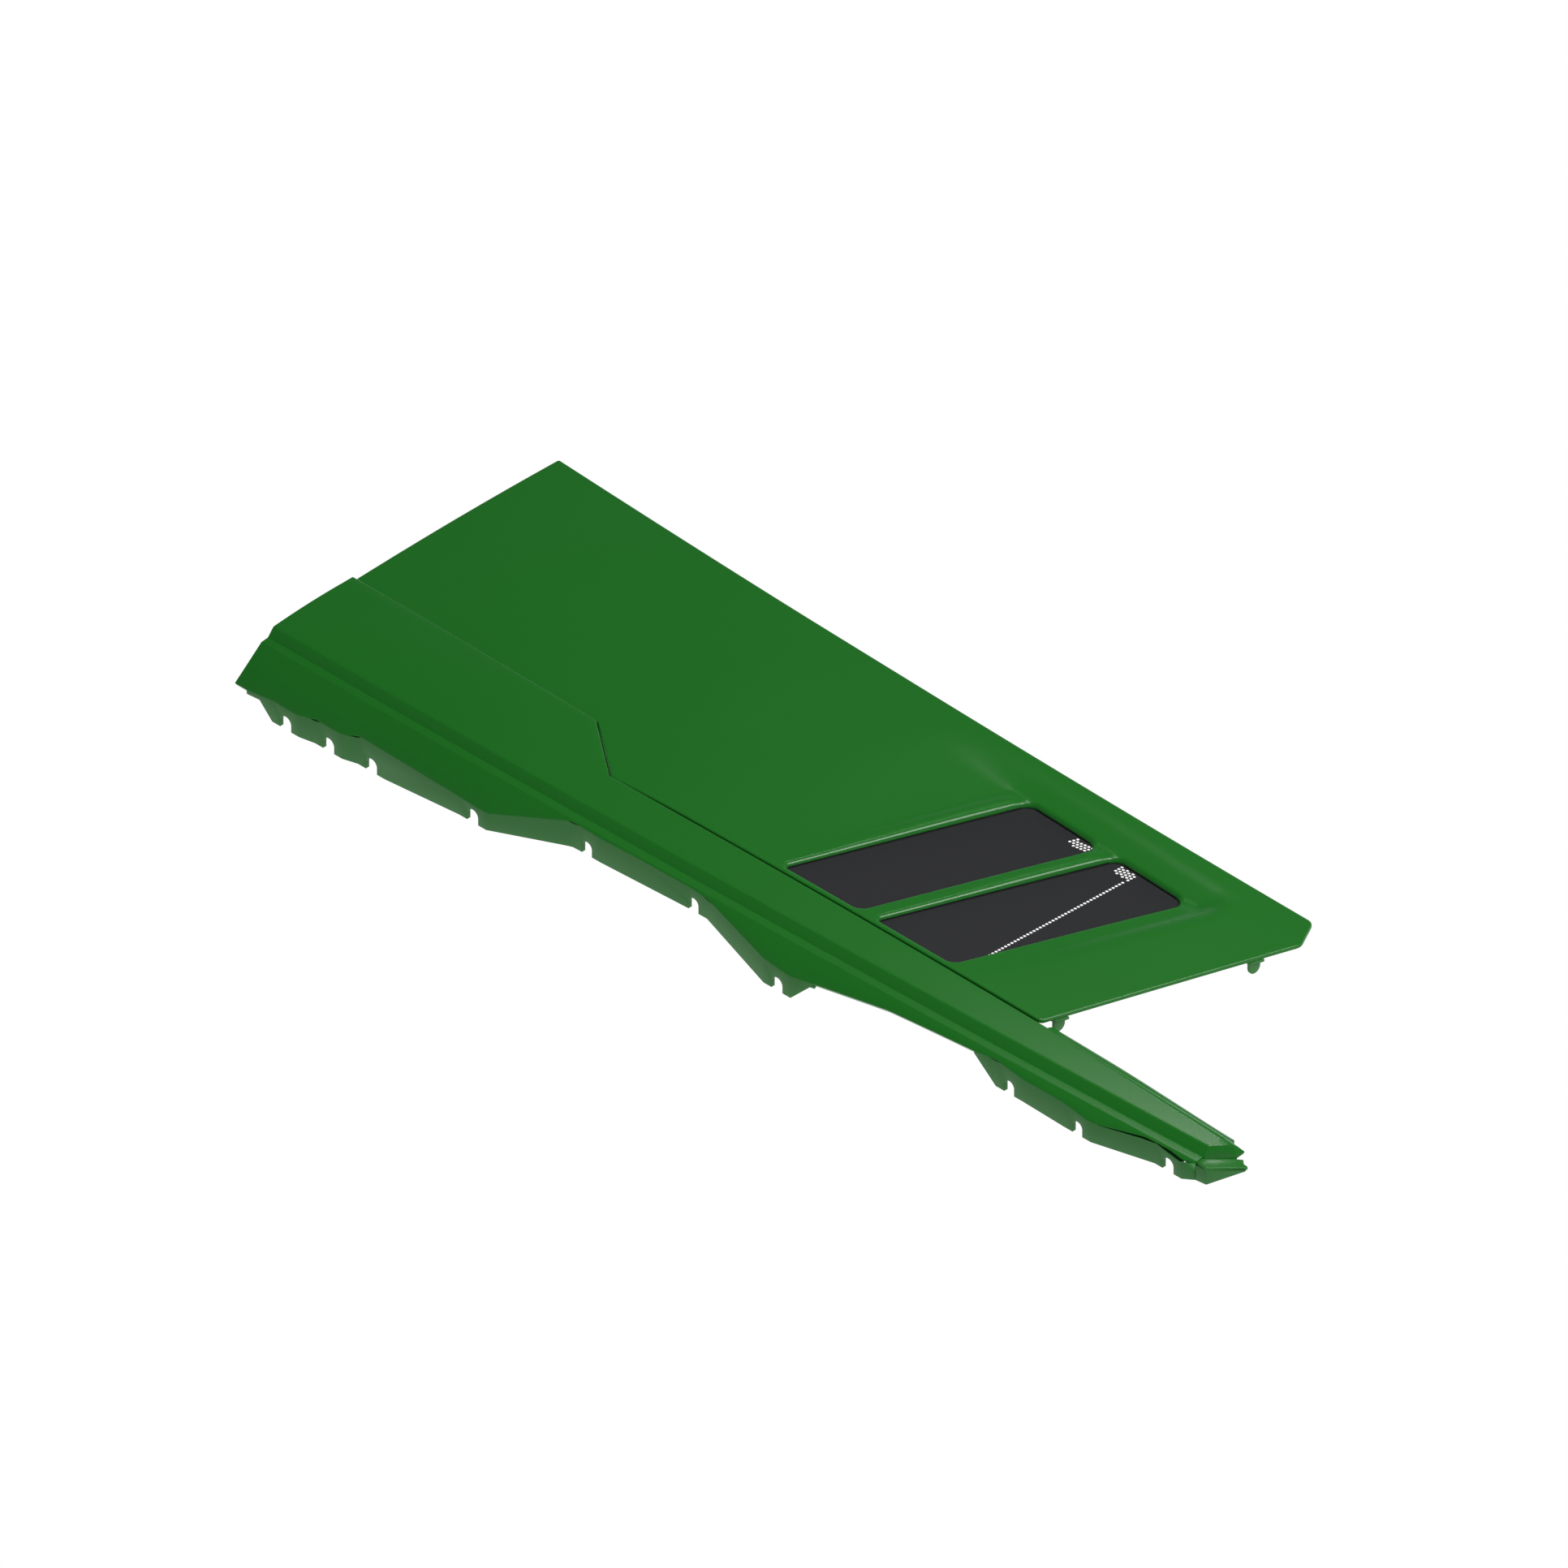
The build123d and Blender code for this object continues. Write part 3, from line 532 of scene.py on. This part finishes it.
def arc_points(before, here, after, radius, steps):
    """Rounds the corner here of a profile between before and after."""
    into = (Vector(here) - Vector(before)).normalized()
    away = (Vector(after) - Vector(here)).normalized()
    turn = turn_between(into, away)
    if abs(turn) < 0.02:
        return [tuple(here)] * (steps + 1)
    room = min((Vector(here) - Vector(before)).length, (Vector(after) - Vector(here)).length)
    reach = min(corner_reach(radius, turn), 0.45 * room)
    radius = reach / corner_reach(1.0, turn)
    start = Vector(here) - into * reach
    side = 1.0 if turn > 0.0 else -1.0
    centre = start + Vector((-into.y, into.x)) * radius * side
    spoke = start - centre
    return [tuple(centre + rotated(spoke, turn * step / steps)) for step in range(steps + 1)]


def far_roll(x):
    """Width and drop of the strip's rolled far edge, which grow towards the nose."""
    share = max(0.0, min(1.0, (x - PANEL_NEAR_FRONT) / (LENGTH - PANEL_NEAR_FRONT)))
    width = SEAM_ROLL + (FAR_ROLL_WIDTH - SEAM_ROLL) * share
    drop = SEAM_ROLL + (FAR_ROLL_DROP - SEAM_ROLL) * share
    return width, drop


def trim_profile(x):
    """Closed profile of the trim at x: outside from the seam to the skirt, then back inside."""
    end = seam(x) - TRIM_CLEAR
    start = crest(x)
    width, drop = far_roll(x)
    top = strip_height(x, end)
    profile = [(end, top - max(SKIN, drop + 1.0))]
    for step in range(5):
        angle = radians(90.0 * step / 5.0)
        profile.append((end - width * (1.0 - cos(angle)), top - drop * (1.0 - sin(angle))))
    inner = end - width
    for step in range(13):
        y = inner + (start + 4.0 - inner) * step / 12
        profile.append((y, strip_height(x, y)))
    crown = (start, fall(x))
    bevel = (start - BEVEL_OUT, fall(x) - BEVEL_DROP)
    ledge = (ledge_edge(x), ledge_height(x))
    skirt = (skirt_edge(x), skirt_height(x))
    profile += arc_points(profile[-1], crown, bevel, CREST_ROUND, 4)
    profile += arc_points(crown, bevel, ledge, BEVEL_ROUND, 3)
    profile += arc_points(bevel, ledge, skirt, LEDGE_ROUND, 4)
    profile += [((ledge[0] + skirt[0]) / 2.0, (ledge[1] + skirt[1]) / 2.0)]
    profile += [(skirt[0] + 0.3, skirt[1] + 0.35), (skirt[0], skirt[1] - 0.4)]
    profile += [(y + SKIN_SHIFT, z - SKIN) for y, z in (skirt, ledge, bevel, crown)]
    for share in (0.3, 0.6, 0.85):
        y = start + (end - start) * share
        profile.append((y, strip_height(x, y) - SKIN))
    return profile


def swept(name, stations, profile_at):
    """Closed skin through the profiles at the stations, capped at both ends."""
    vertices = []
    faces = []
    count = None
    for x in stations:
        profile = profile_at(x)
        count = len(profile)
        vertices += [(x, y, z) for y, z in profile]
    for row in range(len(stations) - 1):
        for index in range(count):
            after = (index + 1) % count
            a = row * count
            b = (row + 1) * count
            faces.append((a + index, a + after, b + after, b + index))
    faces.append(list(range(count)))
    last = (len(stations) - 1) * count
    faces.append([last + index for index in reversed(range(count))])
    return new_object(name, vertices, faces)


def steps_between(start, end, size):
    """Places from start to end, about size apart."""
    count = max(1, round((end - start) / size))
    return [start + (end - start) * step / count for step in range(count + 1)]


trim_stations = steps_between(0.0, JOG_START - 6.0, 5.0)
trim_stations += steps_between(JOG_START - 6.0, JOG_END + 6.0, 1.5)[1:]
trim_stations += steps_between(JOG_END + 6.0, LENGTH, 5.0)[1:]
trim_skin = swept("lower_trim_skin", trim_stations, trim_profile)
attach(trim_skin, "root")


# ---------------------------------------------------------------- nose

along = Vector((cos(radians(NOSE_ANGLE)), sin(radians(NOSE_ANGLE))))
out = Vector((along.y, -along.x))
nose_near = Vector((LENGTH, crest(LENGTH)))


def nose_point(run, offset):
    """Point at run along the nose's front from its near corner, and offset beyond it."""
    return nose_near + along * run + out * offset


def nose_corner(side, offset):
    """Point offset beyond the nose's front, and side nearer than the crest line."""
    y = nose_near.y - side
    return Vector((nose_near.x + (offset - out.y * (y - nose_near.y)) / out.x, y))


def rounded_solid(name, loops, width, segments):
    """Closed solid through loops of points (x, y, z), bottom to top, with rolled edges."""
    vertices = []
    for loop in loops:
        vertices += loop
    count = len(loops[0])
    faces = []
    for level in range(len(loops) - 1):
        for index in range(count):
            after = (index + 1) % count
            a = level * count
            faces.append((a + index, a + after, a + count + after, a + count + index))
    faces.append(list(reversed(range(count))))
    faces.append([len(vertices) - count + index for index in range(count)])
    piece = new_object(name, vertices, faces, False)
    roll(piece, width, segments)
    return piece


def triangulate(mesh):
    """Cuts the many-sided faces into well-shaped triangles, without slivers."""
    bm = bmesh.new()
    bm.from_mesh(mesh)
    bmesh.ops.triangulate(bm, faces=bm.faces, ngon_method="BEAUTY")
    bmesh.ops.dissolve_degenerate(bm, dist=0.000002, edges=bm.edges)
    bm.to_mesh(mesh)
    bm.free()


def roll(piece, width, segments):
    """Rolls the sharp edges of a piece."""
    bevel = piece.modifiers.new("rolled_edges", "BEVEL")
    bevel.width = width * MM
    bevel.segments = segments
    bevel.limit_method = "ANGLE"
    bevel.angle_limit = radians(25.0)
    bevel.harden_normals = False
    depsgraph = bpy.context.evaluated_depsgraph_get()
    mesh = bpy.data.meshes.new_from_object(piece.evaluated_get(depsgraph))
    piece.modifiers.clear()
    piece.data = mesh
    triangulate(mesh)
    mesh.shade_smooth()
    mesh.set_sharp_from_angle(angle=radians(38.0))


def on_slope(points, drop):
    """Points of the nose's ledge at the crest line's fall, drop below it, tilted outwards."""
    placed = []
    for point in points:
        beyond = max(0.0, (point - nose_near).dot(out) - NOSE_BEVEL, nose_near.y - point.y - BEVEL_OUT)
        placed.append((point.x, point.y, fall(point.x) - drop - LEDGE_FALL / LEDGE_WIDTH * beyond))
    return placed


nose_end_y = front_seam(LENGTH) - 0.3
ledge_tip = nose_point(NOSE_RUN, NOSE_LEDGE)
ledge_plan = [
    Vector((NOSE_START, nose_near.y - BEVEL_OUT - LEDGE_WIDTH)),
    nose_corner(BEVEL_OUT + LEDGE_WIDTH, NOSE_LEDGE),
    ledge_tip,
    Vector((ledge_tip.x, nose_near.y + NOSE_FAR)),
    Vector((NOSE_START, nose_near.y + NOSE_FAR)),
]
ledge_loops = [on_slope(ledge_plan, BEVEL_DROP + depth) for depth in (SKIN, 0.05)]
ledge_nose = rounded_solid("trim_nose_ledge", ledge_loops, 1.0, 3)


def nose_height(x, y):
    """Strip and bevel round the nose: the strip's face, cut down beyond its near and front edges."""
    place = Vector((x, y)) - nose_near
    beyond_front = max(0.0, place.dot(out)) * BEVEL_DROP / NOSE_BEVEL
    beyond_side = max(0.0, nose_near.y - y) * BEVEL_DROP / BEVEL_OUT
    width, drop = far_roll(x)
    share = max(0.0, min(1.0, (y - nose_end_y + width) / width))
    rolled = drop * (1.0 - sqrt(1.0 - share * share))
    return strip_height(x, max(y, nose_near.y)) - max(beyond_front, beyond_side, rolled)


def nose_floor(x, y):
    """Underside of the nose's crest: down into the ledge, and thin beyond the ledge's far edge."""
    if y < nose_near.y + NOSE_FAR + NOSE_BRINK / 4.0:
        return fall(x) - BEVEL_DROP - LEDGE_FALL - CREST_SINK
    return nose_height(x, y) - NOSE_THIN


def subdivided(corners, spacing):
    """Points along the line through the corners, without its last one."""
    points = []
    for start, end in zip(corners, corners[1:]):
        count = max(1, round((end - start).length / spacing))
        points += [start + (end - start) * step / count for step in range(count)]
    return points


def crest_plan():
    """Corners in plan of the crest's nose, anticlockwise from its near rear one."""
    tip = nose_point(NOSE_RUN, NOSE_TIP_OFFSET)
    return [
        Vector((NOSE_START, nose_near.y - BEVEL_OUT)),
        nose_corner(BEVEL_OUT, NOSE_BEVEL),
        nose_corner(-NOSE_FAR, NOSE_BEVEL),
        nose_corner(-NOSE_FAR - NOSE_BRINK, NOSE_BEVEL - NOSE_BRINK / 2.0),
        tip,
        Vector((tip.x - NOSE_TIP_BACK, nose_end_y)),
        Vector((NOSE_START, nose_end_y)),
        Vector((NOSE_START, nose_near.y + NOSE_FAR + NOSE_BRINK)),
        Vector((NOSE_START, nose_near.y + NOSE_FAR)),
    ]


def build_nose():
    """Closed piece with the nose's strip and bevel on top."""
    corners = crest_plan()
    edge = subdivided(corners + corners[:1], 2.5)
    ridge_corners = [Vector((NOSE_START, nose_near.y)), nose_near, nose_point(NOSE_RUN - 1.5, 0.0)]
    ridge = subdivided(ridge_corners, 2.5)
    points = edge + ridge + subdivided([corners[1], nose_near], 1.5)[1:]
    # both sides of the step in the underside, along the ledge's far edge
    points += subdivided([corners[2], corners[8]], 2.5)[1:] + subdivided([corners[3], corners[7]], 2.5)[1:]
    # lines along the rolled far edge
    for inset in (1.0, 3.0, 5.0):
        rear = Vector((NOSE_START + 0.5, nose_end_y - inset))
        points += subdivided([rear, nose_point(NOSE_RUN - 3.0, 0.0) + Vector((0.0, -inset))], 2.5)
    links = [(index, (index + 1) % len(edge)) for index in range(len(edge))]
    links += [(len(edge) + index, len(edge) + index + 1) for index in range(len(ridge) - 1)]
    places, _, net = delaunay_2d_cdt(points, links, [], 1, 0.001)[:3]
    top = [(place.x, place.y, nose_height(place.x, place.y)) for place in places]
    floor = [(place.x, place.y, nose_floor(place.x, place.y)) for place in places]
    count = len(top)
    faces = [list(face) for face in net]
    faces += [[count + index for index in reversed(face)] for face in net]
    sides = [(start, face[(index + 1) % len(face)]) for face in net for index, start in enumerate(face)]
    known = set(sides)
    for start, end in sides:
        if (end, start) not in known:
            faces.append([end, start, count + start, count + end])
    return new_object("trim_nose_crest", top + floor, faces)


crest_nose = build_nose()


def backing_profile(x):
    """Backing that closes the slit under the seam's jog."""
    near = seam(x) - 7.0
    far = seam(x) + 9.0
    level = min(strip_height(x, seam(x)), main_height(x, seam(x))) - SKIN - BACKING_GAP
    foot = level - BACKING_THICK
    return [(far, level), (near, level), (near, foot), (far, foot)]


backing_stations = steps_between(JOG_START - LAP - 4.0, JOG_END + 12.0, 3.0)
jog_backing = swept("seam_jog_backing", backing_stations, backing_profile)


def band_profile(x):
    """Band beyond the seam in front of the main panel, with its rolled far wall."""
    start = front_seam(x)
    far = start + NOSE_BAND
    sink = BAND_SINK * rise(x, LENGTH - BAND_SINK_RUN, LENGTH)
    level = strip_height(x, start) - BAND_STEP - sink
    foot = level - BAND_FALL
    shoulder = (start + 4.0, level - 0.6)
    profile = [(start - 4.0, strip_height(x, start) - SKIN), (start - 0.3, level), shoulder]
    profile += arc_points(shoulder, (far, foot), (far, level - 9.0), 2.5, 4)
    profile += [(far, level - NOSE_WALL), (far - SKIN, level - NOSE_WALL)]
    profile += [(far - SKIN, foot - SKIN), (start - 4.0, level - SKIN)]
    return profile


band_stations = steps_between(PANEL_NEAR_FRONT + 8.0, LENGTH + 2.0, 6.0)
band = swept("trim_front_band", band_stations, band_profile)
for piece in (ledge_nose, crest_nose, jog_backing, band):
    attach(piece, "root")
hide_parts("lower_trim")


# ---------------------------------------------------------------- rolled copies of walls and lugs

def rolled_copy(name, width, segments):
    """Copy of a CAD node with flat facets joined and sharp edges rolled; it stands for the node."""
    source = frame["nodes"][name]
    mesh = source.data.copy()
    bm = bmesh.new()
    bm.from_mesh(mesh)
    bmesh.ops.remove_doubles(bm, verts=bm.verts, dist=0.00001)
    bmesh.ops.dissolve_limit(bm, angle_limit=radians(1.0), verts=bm.verts, edges=bm.edges)
    bm.to_mesh(mesh)
    bm.free()
    piece = bpy.data.objects.new(name + "_rolled", mesh)
    bpy.context.scene.collection.objects.link(piece)
    roll(piece, width, segments)
    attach(piece, "root")
    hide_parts(name)
    return piece


rolled_walls = [rolled_copy(name, 0.7, 2) for name in (
    "long_mounting_flange", "front_mounting_flange", "nose_wall", "near_locator_lug", "far_locator_lug",
)]


def thin_screen(name):
    """Copy of a screen with its back brought up; it stands for the node."""
    mesh = frame["nodes"][name].data.copy()
    mesh.name = name + "_thin"
    for vertex in mesh.vertices:
        x, y, z = vertex.co / MM
        if screen_back(x, y) > z:
            vertex.co.z += SCREEN_THINNED * MM
    piece = bpy.data.objects.new(name + "_thin", mesh)
    bpy.context.scene.collection.objects.link(piece)
    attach(piece, "root")
    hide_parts(name)
    return piece


def screen_back(x, y):
    """Middle of a screen's thickness, from the softer recess that the CAD model has."""
    far = WIDTH - VENT_FAR_MARGIN
    sharp_front = 1.0 - rise(leaned(x, y), VENTS_END + 4.0, VENTS_END + FRONT_WALL)
    soft_front = 1.0 - rise(leaned(x, y), VENTS_END, VENTS_END + 80.0)
    sharp_wall = 1.0 - max(0.0, min(1.0, (y - far) / RECESS_WALL))
    soft_wall = 1.0 - rise(y, far, far + RECESS_WALL)
    near = front_seam(x)
    across = max(0.0, min(1.0, (y - near) / (far - near)))
    back = rise(leaned(x, y), VENT_START - RECESS_LEAD, VENT_START)
    change = RECESS_DEPTH * across * back * (sharp_wall * sharp_front - soft_wall * soft_front)
    return main_height(x, y) + change - SCREEN_MIDDLE


thin_screens = [thin_screen(name) for name in ("rear_vent_screen", "front_vent_screen")]


# ---------------------------------------------------------------- materials

def shader(name, base, roughness):
    material = bpy.data.materials.new(name)
    material.use_nodes = True
    nodes = material.node_tree.nodes
    principled = nodes["Principled BSDF"]
    principled.inputs["Base Color"].default_value = (*base, 1.0)
    principled.inputs["Roughness"].default_value = roughness
    principled.inputs["Specular IOR Level"].default_value = 0.3
    return material, nodes, material.node_tree.links, principled


def moulded_green(name, base, darker, roughness):
    """Moulded-in green plastic: faint mottling of the colour and of the gloss."""
    material, nodes, links, principled = shader(name, base, roughness)
    coords = nodes.new("ShaderNodeTexCoord")
    cloud = nodes.new("ShaderNodeTexNoise")
    cloud.inputs["Scale"].default_value = 7.0
    cloud.inputs["Detail"].default_value = 3.0
    tint = nodes.new("ShaderNodeMix")
    tint.data_type = "RGBA"
    tint.inputs["A"].default_value = (*base, 1.0)
    tint.inputs["B"].default_value = (*darker, 1.0)
    links.new(coords.outputs["Object"], cloud.inputs["Vector"])
    links.new(cloud.outputs["Fac"], tint.inputs["Factor"])
    links.new(tint.outputs["Result"], principled.inputs["Base Color"])
    fine = nodes.new("ShaderNodeTexNoise")
    fine.inputs["Scale"].default_value = 900.0
    fine.inputs["Detail"].default_value = 2.0
    links.new(coords.outputs["Object"], fine.inputs["Vector"])
    gloss = nodes.new("ShaderNodeMapRange")
    gloss.inputs["To Min"].default_value = roughness - 0.04
    gloss.inputs["To Max"].default_value = roughness + 0.04
    links.new(fine.outputs["Fac"], gloss.inputs["Value"])
    links.new(gloss.outputs["Result"], principled.inputs["Roughness"])
    return material


green_body = moulded_green("green_body", (0.0140, 0.162, 0.0160), (0.0126, 0.152, 0.0148), 0.24)
green_trim = moulded_green("green_trim", (0.0140, 0.162, 0.0160), (0.0126, 0.152, 0.0148), 0.24)
# green_flange is the same moulded green made lighter and paler: painted light, standing in for the bright
# fill from below and in front that the mounting walls and lugs catch.
green_flange = moulded_green("green_flange", (0.0270, 0.176, 0.0300), (0.0255, 0.168, 0.0285), 0.5)


def plain(name, base, roughness, metallic=0.0):
    """Even colour with a fine grain."""
    material, nodes, links, principled = shader(name, base, roughness)
    principled.inputs["Metallic"].default_value = metallic
    coords = nodes.new("ShaderNodeTexCoord")
    fine = nodes.new("ShaderNodeTexNoise")
    fine.inputs["Scale"].default_value = 600.0
    links.new(coords.outputs["Object"], fine.inputs["Vector"])
    bump = nodes.new("ShaderNodeBump")
    bump.inputs["Strength"].default_value = 0.12
    bump.inputs["Distance"].default_value = 0.0002
    links.new(fine.outputs["Fac"], bump.inputs["Height"])
    links.new(bump.outputs["Normal"], principled.inputs["Normal"])
    return material


screen_black = plain("screen_black", (0.0165, 0.0165, 0.0185), 0.5)
# The seals are black rubber; their edges showing inside the openings also serve as painted shade, a dark
# line standing in for the shaded inner walls of the openings.
seal_rubber = plain("seal_rubber", (0.012, 0.014, 0.012), 0.8)
frame_plastic = plain("frame_plastic", (0.02, 0.02, 0.02), 0.5)
screw_steel = plain("screw_steel", (0.45, 0.45, 0.46), 0.35, 1.0)


def give(piece, material):
    piece.data.materials.clear()
    piece.data.materials.append(material)


give(main_skin, green_body)
for piece in (trim_skin, ledge_nose, crest_nose, jog_backing, band):
    give(piece, green_trim)
# The walls and lugs get the lighter green with its painted fill light.
for piece in rolled_walls:
    give(piece, green_flange)
for piece in thin_screens:
    give(piece, screen_black)
# The bonded_green parts share that lighter green with its painted fill light.
finishes = {
    "green_body": green_body, "green_trim": green_trim, "green_flange": green_flange,
    "bonded_green": green_flange, "seal_rubber": seal_rubber, "screen_black": screen_black,
    "frame_plastic": frame_plastic, "screw_steel": screw_steel,
}
for subpart in frame["record"]["subparts"]:
    give(frame["nodes"][subpart["node"]], finishes[subpart["material_slot"]])


# ---------------------------------------------------------------- studio

def lamp(name, direction, distance, brightness, size):
    """Soft square light that gives brightness to a white face turned to it."""
    aim = Vector((0.55, 0.15, -0.02))
    toward = Vector(direction).normalized()
    data = bpy.data.lights.new(name, "AREA")
    data.energy = brightness * pi * pi * distance * distance
    data.size = size
    holder = bpy.data.objects.new(name, data)
    holder.location = aim + toward * distance
    holder.rotation_mode = "QUATERNION"
    holder.rotation_quaternion = (-toward).to_track_quat("-Z", "Y")
    bpy.context.scene.collection.objects.link(holder)


def sky():
    """World that is pale below the horizon and dim above it, which keeps the glossy tops green."""
    scene = bpy.context.scene
    scene.view_settings.view_transform = "Standard"
    world = bpy.data.worlds.new("studio")
    scene.world = world
    world.use_nodes = True
    nodes = world.node_tree.nodes
    links = world.node_tree.links
    coords = nodes.new("ShaderNodeTexCoord")
    split = nodes.new("ShaderNodeSeparateXYZ")
    links.new(coords.outputs["Generated"], split.inputs["Vector"])
    ramp = nodes.new("ShaderNodeValToRGB")
    stops = ramp.color_ramp.elements
    stops[0].position = 0.0
    stops[0].color = (0.95, 0.98, 1.0, 1.0)
    stops[1].position = 0.62
    stops[1].color = (0.05, 0.05, 0.05, 1.0)
    stops.new(0.18).color = (0.30, 0.32, 0.36, 1.0)
    stops.new(0.5).color = (0.09, 0.10, 0.11, 1.0)
    links.new(split.outputs["Z"], ramp.inputs["Fac"])
    links.new(ramp.outputs["Color"], nodes["Background"].inputs["Color"])
    nodes["Background"].inputs["Strength"].default_value = 1.0


def white_floor():
    """Glowing white floor, far enough below to take no shadow."""
    half = 30.0
    level = -2.5
    corners = [(-half, -half, level), (half, -half, level), (half, half, level), (-half, half, level)]
    mesh = bpy.data.meshes.new("floor")
    mesh.from_pydata(corners, [], [(0, 1, 2, 3)])
    floor = bpy.data.objects.new("floor", mesh)
    bpy.context.scene.collection.objects.link(floor)
    material, _, _, principled = shader("floor_white", (0.0, 0.0, 0.0), 1.0)
    principled.inputs["Specular IOR Level"].default_value = 0.0
    principled.inputs["Emission Color"].default_value = (1.0, 1.0, 1.0, 1.0)
    principled.inputs["Emission Strength"].default_value = 1.0
    mesh.materials.append(material)


def camera():
    """Parallel view from the near front, 45 degrees round and 35 up."""
    data = bpy.data.cameras.new("camera")
    data.type = "ORTHO"
    data.ortho_scale = 1.402
    holder = bpy.data.objects.new("camera", data)
    back = Vector((1.0, -1.0, 1.0)).normalized()
    holder.location = Vector((0.4953, 0.1504, 0.0)) + back * 3.0
    holder.rotation_mode = "QUATERNION"
    holder.rotation_quaternion = (-back).to_track_quat("-Z", "Y")
    bpy.context.scene.collection.objects.link(holder)
    bpy.context.scene.camera = holder


sky()
white_floor()
lamp("key", (0.10, 0.05, 0.99), 4.0, 0.45, 1.6)
lamp("top", (-0.28, 0.45, 0.85), 3.5, 0.075, 0.42)
lamp("side", (0.75, 0.20, 0.85), 4.0, 0.51, 1.2)
camera()
